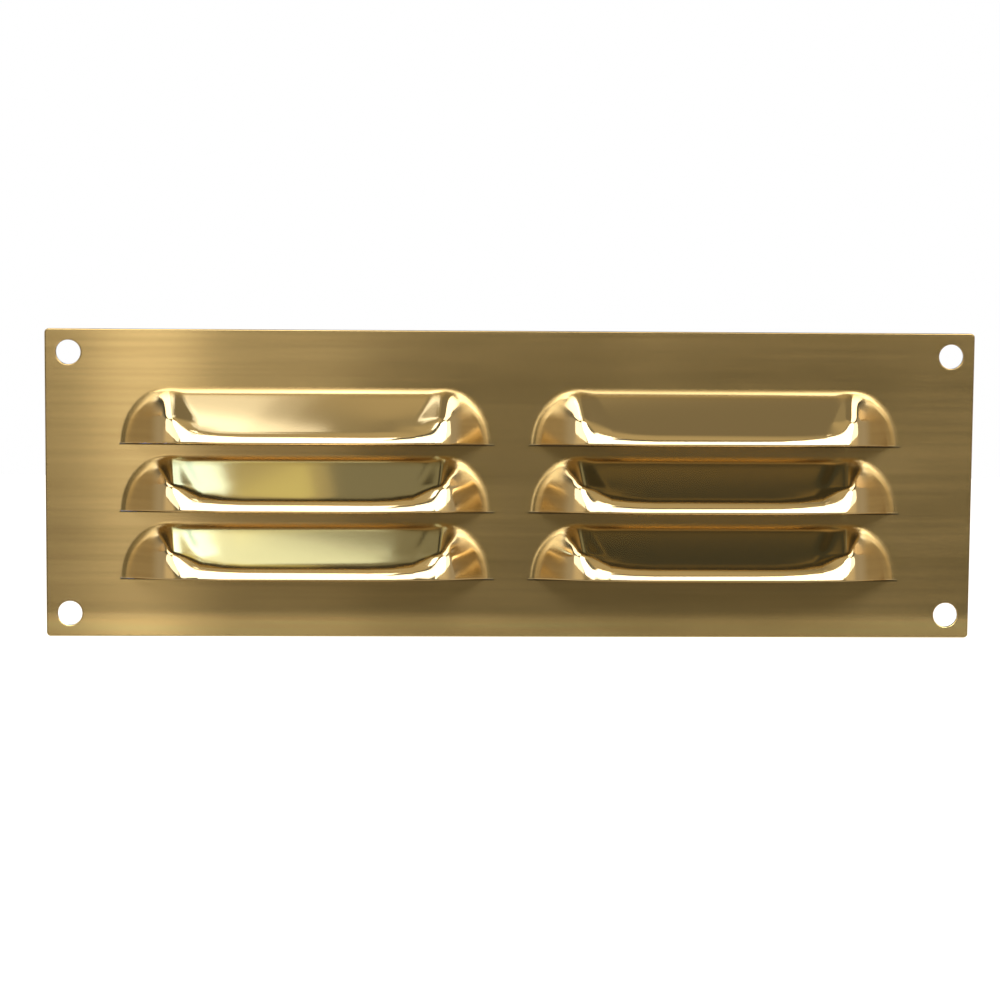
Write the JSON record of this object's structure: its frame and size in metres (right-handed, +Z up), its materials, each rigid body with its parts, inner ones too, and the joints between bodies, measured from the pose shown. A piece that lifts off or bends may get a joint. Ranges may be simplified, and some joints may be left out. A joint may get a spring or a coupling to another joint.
{
  "type": "louvred vent plate",
  "caption": "Flat rectangular brass vent plate with pressed hooded louvres that open downward and a plain screw hole in each corner.",
  "frame": {"origin": "centre of the flat back face, midway between the four screw holes", "axes": "+X along the plate's length to the right seen from the front, +Y out of the back face, +Z up, so the hoods stand out towards -Y and open towards -Z"},
  "size_m": [0.229, 0.0128, 0.076],
  "materials": {
    "brass": "satin, brushed lengthways, with the hoods polished brighter"
  },
  "bodies": {
    "root": {"louvre_plate": "brass"}
  },
  "joints": []
}
